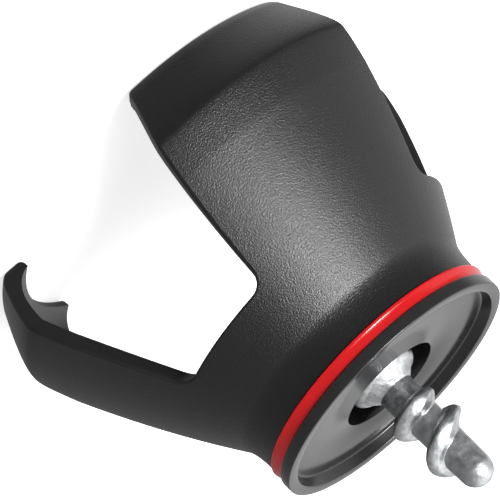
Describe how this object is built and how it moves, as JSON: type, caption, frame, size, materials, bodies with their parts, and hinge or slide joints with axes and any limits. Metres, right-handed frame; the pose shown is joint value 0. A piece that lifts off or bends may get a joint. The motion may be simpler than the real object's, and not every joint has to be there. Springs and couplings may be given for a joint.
{
  "type": "golf ball grabber",
  "caption": "Cup with springy claw fingers that snaps over a golf ball, with a coarse screw that fixes it to the end of a club's grip.",
  "frame": {"origin": "centre of the bounding box's footprint, at the level of the fingertips; the screw's axis stands 1.65 mm towards +Y from it, because the three fingers are not symmetric front to back", "axes": "+Z along the screw's axis, from the fingertips towards the screw's tip; -Y towards the middle of finger 1"},
  "size_m": [0.0514, 0.048, 0.0493],
  "materials": {
    "claw_plastic": "black moulded plastic with a fine spark-eroded grain",
    "ring_red": "glossy red plastic",
    "cap_plastic": "smooth dark grey-black plastic",
    "cast_metal": "satin die-cast metal"
  },
  "bodies": {
    "root": {"claw_collar": "claw_plastic", "trim_ring": "ring_red", "end_cap": "cap_plastic", "grip_screw": "cast_metal"},
    "finger_1": {"claw_finger_1": "claw_plastic"},
    "finger_2": {"claw_finger_2": "claw_plastic"},
    "finger_3": {"claw_finger_3": "claw_plastic"}
  },
  "joints": [
    {"name": "finger_1_flex", "type": "hinge", "parent": "root", "child": "finger_1", "pos_m": [0, -0.01705, 0.02105], "axis": [-1, 0, 0], "range_deg": [0, 5], "stiffness_Nm_per_rad": 1},
    {"name": "finger_2_flex", "type": "hinge", "parent": "root", "child": "finger_2", "pos_m": [0.01619, 0.011, 0.02105], "axis": [0.5, -0.866, 0], "range_deg": [0, 5], "stiffness_Nm_per_rad": 1},
    {"name": "finger_3_flex", "type": "hinge", "parent": "root", "child": "finger_3", "pos_m": [-0.01619, 0.011, 0.02105], "axis": [0.5, 0.866, 0], "range_deg": [0, 5], "stiffness_Nm_per_rad": 1}
  ]
}
